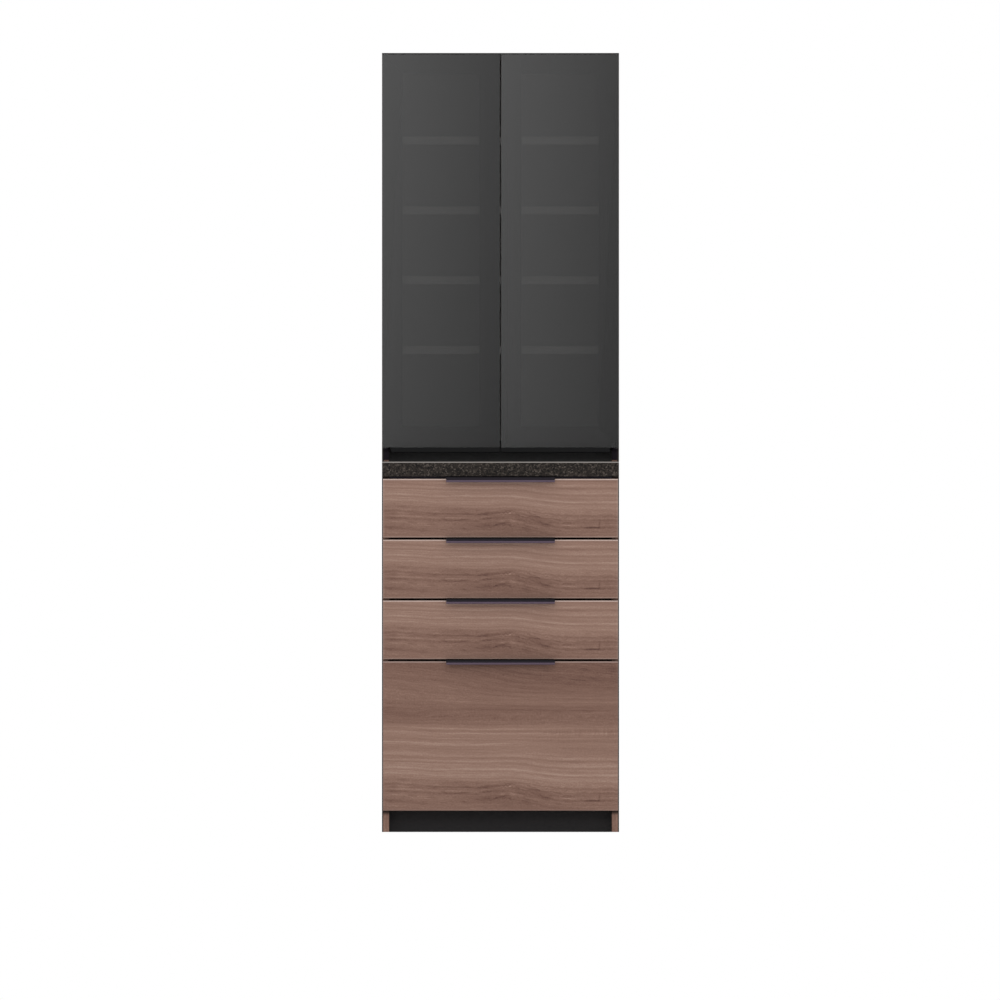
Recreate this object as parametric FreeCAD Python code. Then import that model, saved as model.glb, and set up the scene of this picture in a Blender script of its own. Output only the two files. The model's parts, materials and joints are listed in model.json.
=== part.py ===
import FreeCAD, Part
import math
import os

# Kitchen cupboard: a drawer base with a countertop, and a glazed two-door unit standing on it.
# Millimetres, +Z up, the front faces -Y. The origin is on the floor at the middle of the whole outline.

# Overall sizes
WIDTH = 600.0
HEIGHT = 1972.0
BASE_DEPTH = 450.0            # face of the drawer fronts to the back
UPPER_DEPTH = 400.0           # face of the door glass to the back

# Boards of both units
PANEL_T = 18.0
BACK_T = 5.0
BACK_REBATE = 8.0             # how far the back panels reach into the sides
SIDE_ARRIS = 0.8              # outer front corner of a side panel
TOP_RAIL_DEPTH = 80.0
PLINTH_HEIGHT = 54.0
KICK_T = 16.0
KICK_SETBACK = 40.0

# Countertop
COUNTER_T = 38.0
COUNTER_PROUD = 3.0           # in front of the drawer fronts
COUNTER_TOP_ARRIS = 3.0
COUNTER_LOW_ARRIS = 1.0

# Drawer fronts
SHALLOW_COUNT = 3
SHALLOW_FRONT = 149.5
DEEP_FRONT = 379.0
FRONT_T = 20.0
FRONT_GAP = 4.5               # between fronts
FRONT_TOP_GAP = 5.0           # below the countertop
FRONT_REVEAL = 2.5            # side panel left in sight beside a front
FRONT_STANDOFF = 2.0          # from the carcass to the back of a front
FRONT_TOP_ARRIS = 3.0         # along the top edge of a front
FRONT_ARRIS = 1.0             # along its other edges

# Drawer boxes
BOX_WALL = 12.0
BOX_LENGTH = 400.0
SHALLOW_BOX = 95.0
DEEP_BOX = 250.0
BOX_LIFT = 26.0               # lower edge of a front to lower edge of its box
BOX_BOTTOM_T = 5.0
BOX_BOTTOM_RISE = 8.0
BOX_GROOVE = 6.0

# Telescopic slides: an outer rail on the cabinet, a middle rail, an inner rail on the box
SLIDE_LENGTH = 390.0
SLIDE_SETBACK = 2.0
SLIDE_HEIGHT = 35.0
SLIDE_SPACE = 13.0            # between a side panel and a drawer box
SLIDE_SHEET = 1.2
SLIDE_PLAY = 0.4              # running gap between two rails
SLIDE_LEDGE = 1.4             # how far each rail stays back from the edge of the next
SLIDE_RISE = 48.0             # lower edge of the box to the middle of the slide
SLIDE_BEND = 1.0

# Edge pull on a drawer
PULL_LENGTH = 275.0
PULL_REACH = 20.0
PULL_FLARE = 4.0
PULL_DROP = 8.0
PULL_WALL = 2.0
PULL_SEAT = 14.0              # how far the flange lies on the front's top edge
PULL_FLANGE_T = 3.0
PULL_BEND = 1.2

# Upper unit
FINGER_SPACE = 35.0           # countertop to the lower edge of the doors
BASE_RAIL_T = 16.0
BASE_RAIL_SETBACK = 45.0
WALL_RAIL_T = 16.0
WALL_RAIL_HEIGHT = 80.0
WALL_HOLE_R = 2.75
WALL_HOLE_SPACING = 400.0
DOWEL_R = 4.0
DOWEL_DEPTH = 15.0            # in each of the two pieces
DOWEL_INSET = 40.0

# Shelves
SHELF_COUNT = 4
SHELF_T = 20.0
SHELF_FIRST = 219.0           # clear height under the lowest shelf
SHELF_TOP_SPACE = 193.5       # clear height over the highest shelf
SHELF_SIDE_PLAY = 1.0
SHELF_SETBACK = 12.0
SHELF_BACK_PLAY = 3.0
SHELF_ARRIS = 1.0
PEG_R = 2.5
PEG_DEPTH = 9.0
PEG_HEAD_R = 3.5
PEG_HEAD_LENGTH = 8.0
PEG_INSET = 42.0              # from the front and back edge of a shelf
PEG_STEP = 32.0               # between the holes that a shelf can be set to
PEG_STEPS = (-1, 0, 1)

# Doors
GLASS_T = 4.0
GLASS_ARRIS = 0.7
FRAME_T = 18.0
STILE_WIDTH = 51.5
TOP_FRAME_RAIL = 49.0
LOW_FRAME_RAIL = 53.0
TENON_LENGTH = 12.0
TENON_T = 6.0
DOOR_REVEAL = 0.3             # from the cabinet's side to the door's edge
DOOR_MEETING_GAP = 3.0
DOOR_STANDOFF = 2.5           # from the carcass to the back of a door
HINGE_EDGE_R = 6.0            # rounded back edge that swings past the carcass

# Pull strip under a door
STRIP_HEIGHT = 12.5
STRIP_SHEET = 2.0
STRIP_SETBACK = 1.0
STRIP_DEPTH = 17.0
STRIP_BEAD_R = 1.6
STRIP_END_SPACE = 23.0        # free length beside the lower bracket

# Pivots
PIVOT_INSET = 10.0            # from the door's edge to the axis
PIVOT_BACK = 12.0             # from the door's back to the axis
PIVOT_PLAY = 1.0              # between a door end and its bracket
RUNNING_GAP = 0.3
PIN_R = 3.0
PIN_FIT = 0.05                # radial
PIN_REACH = 11.0
BUSH_WALL = 2.0
BUSH_LENGTH = 12.0
BUSH_FLANGE_R = 7.0
BUSH_END_ROOM = 1.0
BRACKET_R = 6.0               # half the width of tongues and plates, and their rounded ends
BRACKET_T = 3.0
BRACKET_HEIGHT = 30.0
PLATE_T = 2.5
PLATE_TAIL = 45.0             # length of the upper plate on the side panel
SCREW_R = 1.6
SCREW_HEAD_R = 3.2
SCREW_LENGTH = 20.0
BRACKET_SCREW_INSET = 5.0
BRACKET_SCREW_STEP = 12.0
PLATE_SCREW_INSET = 10.0
PLATE_SCREW_STEP = 22.0

# Magnetic catches
CATCH_WIDTH = 30.0
CATCH_HEIGHT = 12.0
CATCH_DEPTH = 24.0
CATCH_FROM_MIDDLE = 27.0
STRIKE_T = 1.0
STRIKE_HEIGHT = 14.0
STRIKE_CORNER = 3.0

# Sides of the small round pieces that repeat: pegs, dowels, screws and their holes
SMALL_SIDES = 10

# Places worked out from the sizes
HALF_WIDTH = WIDTH / 2
INNER_HALF = HALF_WIDTH - PANEL_T
BACK_Y = (BASE_DEPTH + PULL_REACH) / 2
FRONT_Y = BACK_Y - BASE_DEPTH
BASE_EDGE_Y = FRONT_Y + FRONT_T + FRONT_STANDOFF
INSIDE_BACK_Y = BACK_Y - BACK_T
COUNTER_Z = (PLINTH_HEIGHT + DEEP_FRONT + SHALLOW_COUNT * (FRONT_GAP + SHALLOW_FRONT) + FRONT_TOP_GAP)
COUNTER_TOP_Z = COUNTER_Z + COUNTER_T
DOOR_FACE_Y = BACK_Y - UPPER_DEPTH
FRAME_FACE_Y = DOOR_FACE_Y + GLASS_T
DOOR_BACK_Y = FRAME_FACE_Y + FRAME_T
UPPER_EDGE_Y = DOOR_BACK_Y + DOOR_STANDOFF
DOOR_LOW_Z = COUNTER_TOP_Z + FINGER_SPACE
DOOR_TOP_Z = HEIGHT - PLATE_T - PIVOT_PLAY
DOOR_OUTER_X = HALF_WIDTH - DOOR_REVEAL
DOOR_INNER_X = DOOR_MEETING_GAP / 2
UPPER_FLOOR_Z = DOOR_LOW_Z + PANEL_T
UPPER_CEILING_Z = HEIGHT - PANEL_T
PIVOT_X = DOOR_OUTER_X - PIVOT_INSET
PIVOT_Y = DOOR_BACK_Y - PIVOT_BACK
BUSH_R = PIN_R + PIN_FIT + BUSH_WALL
BOX_HALF = INNER_HALF - SLIDE_SPACE
BOX_FRONT_Y = FRONT_Y + FRONT_T
SLIDE_Y = BASE_EDGE_Y + SLIDE_SETBACK
SHELF_FRONT_Y = UPPER_EDGE_Y + SHELF_SETBACK
SHELF_BACK_Y = INSIDE_BACK_Y - SHELF_BACK_PLAY
SHELF_LOW_Z = UPPER_FLOOR_Z + SHELF_FIRST
SHELF_TOP_Z = UPPER_CEILING_Z - SHELF_TOP_SPACE - SHELF_T
SHELF_PITCH = (SHELF_TOP_Z - SHELF_LOW_Z) / (SHELF_COUNT - 1)

ALONG_X = FreeCAD.Vector(1, 0, 0)
ALONG_Y = FreeCAD.Vector(0, 1, 0)
ALONG_Z = FreeCAD.Vector(0, 0, 1)


def vector(x, y, z):
    return FreeCAD.Vector(x, y, z)


def board(x0, x1, y0, y1, z0, z1):
    """A flat board between two corners."""
    return Part.makeBox(x1 - x0, y1 - y0, z1 - z0, vector(x0, y0, z0))


def rod(radius, start, axis, length):
    return Part.makeCylinder(radius, length, start, axis)


def small_outline(radius, middle, axis):
    """The flat-sided outline of a small round piece; the radius reaches the flats, with one flat on top."""
    up = ALONG_X if abs(axis.z) > abs(axis.x) + abs(axis.y) else ALONG_Z
    across = axis.cross(up)
    reach = radius / math.cos(math.pi / SMALL_SIDES)
    turns = [(corner + 0.5) * 2 * math.pi / SMALL_SIDES for corner in range(SMALL_SIDES)]
    return [middle + up * (reach * math.cos(turn)) + across * (reach * math.sin(turn)) for turn in turns]


def small_rod(radius, start, axis, length):
    return profile(small_outline(radius, start, axis), axis * length)


def mirrored(shape):
    """The same piece on the other side of the cupboard."""
    return shape.mirror(vector(0, 0, 0), ALONG_X)


def both_sides(right_shape):
    return [mirrored(right_shape), right_shape]


def profile(points, length_vector):
    """A straight bar with the outline given by its corner points."""
    outline = Part.makePolygon(points + [points[0]])
    return Part.Face(outline).extrude(length_vector)


def edges_between(shape, low, high, tolerance=1e-4):
    """The edges that lie wholly inside a box; None leaves a direction open."""
    found = []
    for edge in shape.Edges:
        box = edge.BoundBox
        lows = (box.XMin, box.YMin, box.ZMin)
        highs = (box.XMax, box.YMax, box.ZMax)
        above = all(limit is None or value >= limit - tolerance for value, limit in zip(lows, low))
        below = all(limit is None or value <= limit + tolerance for value, limit in zip(highs, high))
        if above and below:
            found.append(edge)
    return found


def drawer_plan():
    """Lower edge, front height and box height of each drawer, from the top one down."""
    plan = [(PLINTH_HEIGHT, DEEP_FRONT, DEEP_BOX)]
    lower_edge = PLINTH_HEIGHT + DEEP_FRONT + FRONT_GAP
    for _ in range(SHALLOW_COUNT):
        plan.insert(0, (lower_edge, SHALLOW_FRONT, SHALLOW_BOX))
        lower_edge += SHALLOW_FRONT + FRONT_GAP
    return plan


def side_panel(edge_y, low, high, rebate_low):
    """Right side panel: its outer front corner is eased, and a rebate takes the back panel."""
    side = board(INNER_HALF, HALF_WIDTH, edge_y, BACK_Y, low, high)
    corner = (HALF_WIDTH, edge_y, None)
    side = side.makeChamfer(SIDE_ARRIS, edges_between(side, corner, corner))
    return side.cut(board(INNER_HALF, INNER_HALF + BACK_REBATE, INSIDE_BACK_Y, BACK_Y, rebate_low, high))


# Base unit

def base_side():
    return side_panel(BASE_EDGE_Y, 0, COUNTER_Z, PLINTH_HEIGHT)


def base_top_rails():
    top, low = COUNTER_Z, COUNTER_Z - PANEL_T
    front = board(-INNER_HALF, INNER_HALF, BASE_EDGE_Y, BASE_EDGE_Y + TOP_RAIL_DEPTH, low, top)
    rear = board(-INNER_HALF, INNER_HALF, INSIDE_BACK_Y - TOP_RAIL_DEPTH, INSIDE_BACK_Y, low, top)
    return [front, rear]


def toe_kick_board():
    face = BASE_EDGE_Y + KICK_SETBACK
    return board(-INNER_HALF, INNER_HALF, face, face + KICK_T, 0, PLINTH_HEIGHT)


def countertop(dowels):
    face = FRONT_Y - COUNTER_PROUD
    slab = board(-HALF_WIDTH, HALF_WIDTH, face, BACK_Y, COUNTER_Z, COUNTER_TOP_Z)
    top_edge = edges_between(slab, (None, face, COUNTER_TOP_Z), (None, face, None))
    slab = slab.makeChamfer(COUNTER_TOP_ARRIS, top_edge)
    low_edge = edges_between(slab, (None, face, None), (None, face, COUNTER_Z))
    return slab.makeChamfer(COUNTER_LOW_ARRIS, low_edge).cut(Part.makeCompound(dowels))


def stacking_dowels():
    """Dowels that keep the upper unit in place on the countertop."""
    x = HALF_WIDTH - PANEL_T / 2
    dowels = []
    for y in (UPPER_EDGE_Y + DOWEL_INSET, BACK_Y - DOWEL_INSET):
        dowel = small_rod(DOWEL_R, vector(x, y, COUNTER_TOP_Z - DOWEL_DEPTH), ALONG_Z, 2 * DOWEL_DEPTH)
        dowels += both_sides(dowel)
    return dowels


# Drawer slides

def channel(web_at, lip_at, half_height):
    """A bent sheet rail on the right-hand side panel, open towards lip_at, both measured from the panel."""
    side = 1 if lip_at > web_at else -1
    inner_web = web_at + side * SLIDE_SHEET
    inner_height = half_height - SLIDE_SHEET
    outline = [(web_at, -half_height), (lip_at, -half_height), (lip_at, -inner_height),
               (inner_web, -inner_height), (inner_web, inner_height), (lip_at, inner_height),
               (lip_at, half_height), (web_at, half_height)]
    points = [vector(INNER_HALF - across, SLIDE_Y, up) for across, up in outline]
    rail = profile(points, ALONG_Y * SLIDE_LENGTH)
    web_x = INNER_HALF - web_at
    bends = edges_between(rail, (web_x, SLIDE_Y, None), (web_x, SLIDE_Y + SLIDE_LENGTH, None))
    long_bends = [edge for edge in bends if edge.Length > SLIDE_LENGTH - SLIDE_SHEET]
    return rail.makeChamfer(SLIDE_BEND, long_bends)


def slide_rails():
    """Outer, middle and inner rail on the right, with the slide's middle at height 0."""
    step = SLIDE_SHEET + SLIDE_PLAY
    half = SLIDE_HEIGHT / 2
    middle_web = SLIDE_SHEET + 2 * SLIDE_PLAY
    inner_lip = middle_web + SLIDE_SHEET + 2 * SLIDE_PLAY
    outer = channel(0, SLIDE_SPACE - 2 * SLIDE_LEDGE, half)
    middle = channel(middle_web, SLIDE_SPACE - SLIDE_SHEET - SLIDE_PLAY, half - step)
    inner = channel(SLIDE_SPACE, inner_lip, half - 2 * step)
    return outer, middle, inner


def slide_middle_z(lower_edge):
    return lower_edge + BOX_LIFT + SLIDE_RISE


# Drawers

def drawer_front(lower_edge, height):
    """A front board with a broad arris along the top, and its other front edges eased."""
    half = HALF_WIDTH - FRONT_REVEAL
    top = lower_edge + height
    front = board(-half, half, FRONT_Y, BOX_FRONT_Y, lower_edge, top)
    top_edge = edges_between(front, (None, None, top), (None, FRONT_Y, None))
    front = front.makeChamfer(FRONT_TOP_ARRIS, top_edge)
    face_edges = edges_between(front, (None, None, None), (None, FRONT_Y, None))
    other_edges = [edge for edge in face_edges if edge.BoundBox.ZMin < top - FRONT_TOP_ARRIS]
    return front.makeChamfer(FRONT_ARRIS, other_edges)


def drawer_pull(top_edge):
    """Bent edge pull: a flange on the front's top edge, a face turned down, a lip that flares forward."""
    face = FRONT_Y - PULL_REACH + PULL_FLARE
    slant = math.hypot(PULL_FLARE, PULL_FLARE)
    flare_y = PULL_WALL * PULL_FLARE / slant
    flare_top = top_edge - PULL_DROP + PULL_FLARE
    inner_knee = flare_top - PULL_WALL * math.tan(math.pi / 8)
    outline = [(FRONT_Y + PULL_SEAT, top_edge), (FRONT_Y + PULL_SEAT, top_edge + PULL_FLANGE_T),
               (face, top_edge + PULL_FLANGE_T), (face, flare_top),
               (FRONT_Y - PULL_REACH, top_edge - PULL_DROP),
               (FRONT_Y - PULL_REACH + flare_y, top_edge - PULL_DROP - flare_y),
               (face + PULL_WALL, inner_knee), (face + PULL_WALL, top_edge)]
    points = [vector(-PULL_LENGTH / 2, y, z) for y, z in outline]
    pull = profile(points, ALONG_X * PULL_LENGTH)
    corner = (face, top_edge + PULL_FLANGE_T)
    bend = edges_between(pull, (None,) + corner, (None,) + corner)
    return pull.makeFillet(PULL_BEND, bend)


def drawer_bottom(box_low):
    half = BOX_HALF - BOX_WALL + BOX_GROOVE
    low = box_low + BOX_BOTTOM_RISE
    front = BOX_FRONT_Y + BOX_WALL - BOX_GROOVE
    rear = BOX_FRONT_Y + BOX_LENGTH - BOX_WALL + BOX_GROOVE
    return board(-half, half, front, rear, low, low + BOX_BOTTOM_T)


def drawer_walls(box_low, box_height, bottom):
    """Two sides, an inner front and a back, grooved for the bottom."""
    top = box_low + box_height
    rear = BOX_FRONT_Y + BOX_LENGTH
    inner = BOX_HALF - BOX_WALL
    walls = both_sides(board(inner, BOX_HALF, BOX_FRONT_Y, rear, box_low, top))
    walls.append(board(-inner, inner, BOX_FRONT_Y, BOX_FRONT_Y + BOX_WALL, box_low, top))
    walls.append(board(-inner, inner, rear - BOX_WALL, rear, box_low, top))
    return [wall.cut(bottom) for wall in walls]


# Upper unit

def wall_holes():
    """Clearance holes for two screws into the wall."""
    z = UPPER_CEILING_Z - WALL_RAIL_HEIGHT / 2
    start = INSIDE_BACK_Y - WALL_RAIL_T
    hole = rod(WALL_HOLE_R, vector(WALL_HOLE_SPACING / 2, start, z), ALONG_Y, WALL_RAIL_T + BACK_T)
    return Part.makeCompound(both_sides(hole))


def upper_side(screws, plate, dowels):
    """Right side: rows of shelf holes, a pocket for the pivot plate, screw and dowel holes."""
    side = side_panel(UPPER_EDGE_Y, COUNTER_TOP_Z, HEIGHT, COUNTER_TOP_Z)
    holes = []
    for shelf in range(SHELF_COUNT):
        for step in PEG_STEPS:
            for y in peg_rows():
                start = vector(INNER_HALF, y, peg_height(shelf) + step * PEG_STEP)
                holes.append(small_rod(PEG_R, start, ALONG_X, PEG_DEPTH))
    return side.cut(Part.makeCompound([plate] + screws + dowels + holes))


def upper_base_rail():
    face = UPPER_EDGE_Y + BASE_RAIL_SETBACK
    return board(-INNER_HALF, INNER_HALF, face, face + BASE_RAIL_T, COUNTER_TOP_Z, DOOR_LOW_Z)


def upper_wall_rail():
    rail = board(-INNER_HALF, INNER_HALF, INSIDE_BACK_Y - WALL_RAIL_T, INSIDE_BACK_Y,
                 UPPER_CEILING_Z - WALL_RAIL_HEIGHT, UPPER_CEILING_Z)
    return rail.cut(wall_holes())


def upper_back_panel():
    half = INNER_HALF + BACK_REBATE
    return board(-half, half, INSIDE_BACK_Y, BACK_Y, COUNTER_TOP_Z, HEIGHT).cut(wall_holes())


def shelf_low_z(shelf):
    return SHELF_LOW_Z + shelf * SHELF_PITCH


def peg_height(shelf):
    return shelf_low_z(shelf) - PEG_HEAD_R


def peg_rows():
    return SHELF_FRONT_Y + PEG_INSET, SHELF_BACK_Y - PEG_INSET


def shelf_board(shelf):
    half = INNER_HALF - SHELF_SIDE_PLAY
    low = shelf_low_z(shelf)
    plain = board(-half, half, SHELF_FRONT_Y, SHELF_BACK_Y, low, low + SHELF_T)
    front_edges = edges_between(plain, (-half, None, None), (half, SHELF_FRONT_Y, None))
    long_edges = [edge for edge in front_edges if edge.Length > half]
    return plain.makeFillet(SHELF_ARRIS, long_edges)


def shelf_pegs():
    """Turned pegs: a shank in the side panel and a wider head that carries the shelf."""
    pegs = []
    for shelf in range(SHELF_COUNT):
        for y in peg_rows():
            start = vector(INNER_HALF, y, peg_height(shelf))
            shank = small_rod(PEG_R, start, ALONG_X, PEG_DEPTH)
            head = small_rod(PEG_HEAD_R, start, ALONG_X * -1, PEG_HEAD_LENGTH)
            pegs += both_sides(shank.fuse(head).removeSplitter())
    return pegs


# Door pivots

def tongue(length, thickness, z):
    """A flat strip from the pivot axis to the back, with its end rounded about the axis."""
    strip = board(PIVOT_X - BRACKET_R, PIVOT_X + BRACKET_R, PIVOT_Y, PIVOT_Y + length, z, z + thickness)
    tip = rod(BRACKET_R, vector(PIVOT_X, PIVOT_Y, z), ALONG_Z, thickness)
    return strip.fuse(tip).removeSplitter()


def lower_bracket():
    """Angle bracket on the front edge of the side, as wide as the edge allows, with the pin for the door."""
    top = DOOR_LOW_Z - PIVOT_PLAY
    shelf = tongue(UPPER_EDGE_Y - PIVOT_Y, BRACKET_T, top - BRACKET_T)
    leaf = board(INNER_HALF, PIVOT_X + BRACKET_R, UPPER_EDGE_Y - BRACKET_T, UPPER_EDGE_Y,
                 top - BRACKET_HEIGHT, top)
    pin = rod(PIN_R, vector(PIVOT_X, PIVOT_Y, top - BRACKET_T), ALONG_Z, BRACKET_T + PIVOT_PLAY + PIN_REACH)
    return shelf.fuse([leaf, pin]).removeSplitter()


def upper_plate():
    """Flat plate let into the top of the side."""
    return tongue(UPPER_EDGE_Y - PIVOT_Y + PLATE_TAIL, PLATE_T, HEIGHT - PLATE_T)


def upper_pivot():
    start = vector(PIVOT_X, PIVOT_Y, DOOR_TOP_Z - PIN_REACH)
    pin = rod(PIN_R, start, ALONG_Z, HEIGHT - DOOR_TOP_Z + PIN_REACH)
    return upper_plate().fuse(pin).removeSplitter()


def countersunk_screw(head, axis):
    """A screw whose flat head lies at the given point."""
    sink = SCREW_HEAD_R - SCREW_R
    neck = head + axis * sink
    rings = [small_outline(SCREW_HEAD_R, head, axis), small_outline(SCREW_R, neck, axis)]
    cone = Part.makeLoft([Part.makePolygon(ring + [ring[0]]) for ring in rings], True, True)
    shank = small_rod(SCREW_R, neck, axis, SCREW_LENGTH - sink)
    return cone.fuse(shank).removeSplitter()


def bracket_screws():
    lowest = DOOR_LOW_Z - PIVOT_PLAY - BRACKET_HEIGHT + BRACKET_SCREW_INSET
    face = UPPER_EDGE_Y - BRACKET_T
    heads = [vector(PIVOT_X, face, lowest + step * BRACKET_SCREW_STEP) for step in range(2)]
    return [countersunk_screw(head, ALONG_Y) for head in heads]


def plate_screws():
    first = UPPER_EDGE_Y + PLATE_SCREW_INSET
    heads = [vector(PIVOT_X, first + step * PLATE_SCREW_STEP, HEIGHT) for step in range(2)]
    return [countersunk_screw(head, ALONG_Z * -1) for head in heads]


# Doors, drawn on the right

def pivot_bush(door_end, into_door):
    """A flanged bush in the end of the hinge stile, bored for the pin."""
    start = vector(PIVOT_X, PIVOT_Y, door_end)
    flange_t = PIVOT_PLAY - RUNNING_GAP
    sleeve = rod(BUSH_R, start, into_door, BUSH_LENGTH)
    flange = rod(BUSH_FLANGE_R, start, into_door * -1, flange_t)
    bore = rod(PIN_R + PIN_FIT, start - into_door * flange_t, into_door, BUSH_LENGTH + flange_t)
    return sleeve.fuse(flange).removeSplitter().cut(bore)


def pivot_bushes():
    return [pivot_bush(DOOR_LOW_Z, ALONG_Z), pivot_bush(DOOR_TOP_Z, ALONG_Z * -1)]


def frame_rails():
    """Top and bottom rail of the door frame, with tenons that go into the stiles."""
    inner = DOOR_INNER_X + STILE_WIDTH
    outer = DOOR_OUTER_X - STILE_WIDTH
    tenon_y = FRAME_FACE_Y + (FRAME_T - TENON_T) / 2
    rails = []
    for low, height in ((DOOR_LOW_Z, LOW_FRAME_RAIL), (DOOR_TOP_Z - TOP_FRAME_RAIL, TOP_FRAME_RAIL)):
        rail = board(inner, outer, FRAME_FACE_Y, DOOR_BACK_Y, low, low + height)
        tenon = board(inner - TENON_LENGTH, outer + TENON_LENGTH, tenon_y, tenon_y + TENON_T,
                      low + TENON_LENGTH, low + height - TENON_LENGTH)
        rails.append(rail.fuse(tenon).removeSplitter())
    return rails


def frame_stiles(rails):
    """Hinge stile and meeting stile; the hinge stile's back edge is rounded to swing past the carcass."""
    hinge = board(DOOR_OUTER_X - STILE_WIDTH, DOOR_OUTER_X, FRAME_FACE_Y, DOOR_BACK_Y,
                  DOOR_LOW_Z, DOOR_TOP_Z)
    corner = (DOOR_OUTER_X, DOOR_BACK_Y)
    hinge = hinge.makeFillet(HINGE_EDGE_R, edges_between(hinge, corner + (None,), corner + (None,)))
    meeting = board(DOOR_INNER_X, DOOR_INNER_X + STILE_WIDTH, FRAME_FACE_Y, DOOR_BACK_Y,
                    DOOR_LOW_Z, DOOR_TOP_Z)
    socket_depth = BUSH_LENGTH + BUSH_END_ROOM
    low_socket = rod(BUSH_R, vector(PIVOT_X, PIVOT_Y, DOOR_LOW_Z), ALONG_Z, socket_depth)
    top_socket = rod(BUSH_R, vector(PIVOT_X, PIVOT_Y, DOOR_TOP_Z), ALONG_Z * -1, socket_depth)
    hinge = hinge.cut(Part.makeCompound(rails + [low_socket, top_socket]))
    return [hinge, meeting.cut(Part.makeCompound(rails))]


def door_glass():
    pane = board(DOOR_INNER_X, DOOR_OUTER_X, DOOR_FACE_Y, FRAME_FACE_Y, DOOR_LOW_Z, DOOR_TOP_Z)
    return pane.makeChamfer(GLASS_ARRIS, edges_between(pane, (None, None, None), (None, DOOR_FACE_Y, None)))


def door_strip():
    """Angle strip screwed under the door: a flange, a face turned down and a round bead to grip."""
    face = DOOR_FACE_Y + STRIP_SETBACK
    low = DOOR_LOW_Z - STRIP_HEIGHT
    outer = DOOR_OUTER_X - STRIP_END_SPACE
    outline = [(face, low + STRIP_BEAD_R), (face, DOOR_LOW_Z), (face + STRIP_DEPTH, DOOR_LOW_Z),
               (face + STRIP_DEPTH, DOOR_LOW_Z - STRIP_SHEET),
               (face + STRIP_SHEET, DOOR_LOW_Z - STRIP_SHEET), (face + STRIP_SHEET, low + STRIP_BEAD_R)]
    points = [vector(DOOR_INNER_X, y, z) for y, z in outline]
    angle = profile(points, ALONG_X * (outer - DOOR_INNER_X))
    bead_start = vector(DOOR_INNER_X, face + STRIP_BEAD_R, low + STRIP_BEAD_R)
    bead = rod(STRIP_BEAD_R, bead_start, ALONG_X, outer - DOOR_INNER_X)
    return angle.fuse(bead).removeSplitter()


def catch_middle_z():
    return UPPER_CEILING_Z - CATCH_HEIGHT / 2


def door_strike():
    x, z = CATCH_FROM_MIDDLE, catch_middle_z()
    plate = board(x - CATCH_WIDTH / 2, x + CATCH_WIDTH / 2, DOOR_BACK_Y, DOOR_BACK_Y + STRIKE_T,
                  z - STRIKE_HEIGHT / 2, z + STRIKE_HEIGHT / 2)
    corners = [edge for edge in plate.Edges if edge.BoundBox.YLength > STRIKE_T / 2]
    return plate.makeChamfer(STRIKE_CORNER, corners)


def door_catch():
    """Magnetic catch under the top panel, just behind the strike."""
    x, face = CATCH_FROM_MIDDLE, DOOR_BACK_Y + STRIKE_T + RUNNING_GAP
    return board(x - CATCH_WIDTH / 2, x + CATCH_WIDTH / 2, face, face + CATCH_DEPTH,
                 UPPER_CEILING_Z - CATCH_HEIGHT, UPPER_CEILING_Z)


# Assembly

def cabinet_nodes():
    dowels = stacking_dowels()
    screws = bracket_screws() + plate_screws()
    side = upper_side(screws, upper_plate(), dowels)
    base_half = INNER_HALF + BACK_REBATE
    outer_rail = slide_rails()[0]
    outer_rails = []
    for lower_edge, _, _ in drawer_plan():
        outer_rails += both_sides(outer_rail.translated(ALONG_Z * slide_middle_z(lower_edge)))
    brackets = lower_bracket().cut(Part.makeCompound(bracket_screws()))
    plates = upper_pivot().cut(Part.makeCompound(plate_screws()))
    nodes = {
        "base_left_side": [mirrored(base_side())],
        "base_right_side": [base_side()],
        "base_bottom_panel": [board(-INNER_HALF, INNER_HALF, BASE_EDGE_Y, INSIDE_BACK_Y,
                                    PLINTH_HEIGHT, PLINTH_HEIGHT + PANEL_T)],
        "base_back_panel": [board(-base_half, base_half, INSIDE_BACK_Y, BACK_Y, PLINTH_HEIGHT, COUNTER_Z)],
        "base_top_rails": base_top_rails(),
        "toe_kick_board": [toe_kick_board()],
        "countertop": [countertop(dowels)],
        "drawer_outer_rails": outer_rails,
        "stacking_dowels": dowels,
        "upper_left_side": [mirrored(side)],
        "upper_right_side": [side],
        "upper_top_panel": [board(-INNER_HALF, INNER_HALF, UPPER_EDGE_Y, INSIDE_BACK_Y,
                                  UPPER_CEILING_Z, HEIGHT)],
        "upper_bottom_panel": [board(-INNER_HALF, INNER_HALF, UPPER_EDGE_Y, INSIDE_BACK_Y,
                                     DOOR_LOW_Z, UPPER_FLOOR_Z)],
        "upper_back_panel": [upper_back_panel()],
        "upper_base_rail": [upper_base_rail()],
        "upper_wall_rail": [upper_wall_rail()],
        "shelf_pegs": shelf_pegs(),
        "door_pivot_brackets": both_sides(brackets) + both_sides(plates),
        "pivot_screws": [piece for screw in screws for piece in both_sides(screw)],
        "door_catches": both_sides(door_catch()),
    }
    for shelf in range(SHELF_COUNT):
        nodes["shelf_%d" % (shelf + 1)] = [shelf_board(shelf)]
    return nodes


def door_nodes():
    rails = frame_rails()
    right = {
        "stiles": frame_stiles(rails),
        "frame_rails": rails,
        "glass": [door_glass()],
        "pull_strip": [door_strip()],
        "pivot_bushes": pivot_bushes(),
        "strike": [door_strike()],
    }
    nodes = {}
    for piece, solids in right.items():
        nodes["left_door_" + piece] = [mirrored(solid) for solid in solids]
        nodes["right_door_" + piece] = solids
    return nodes


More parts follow.
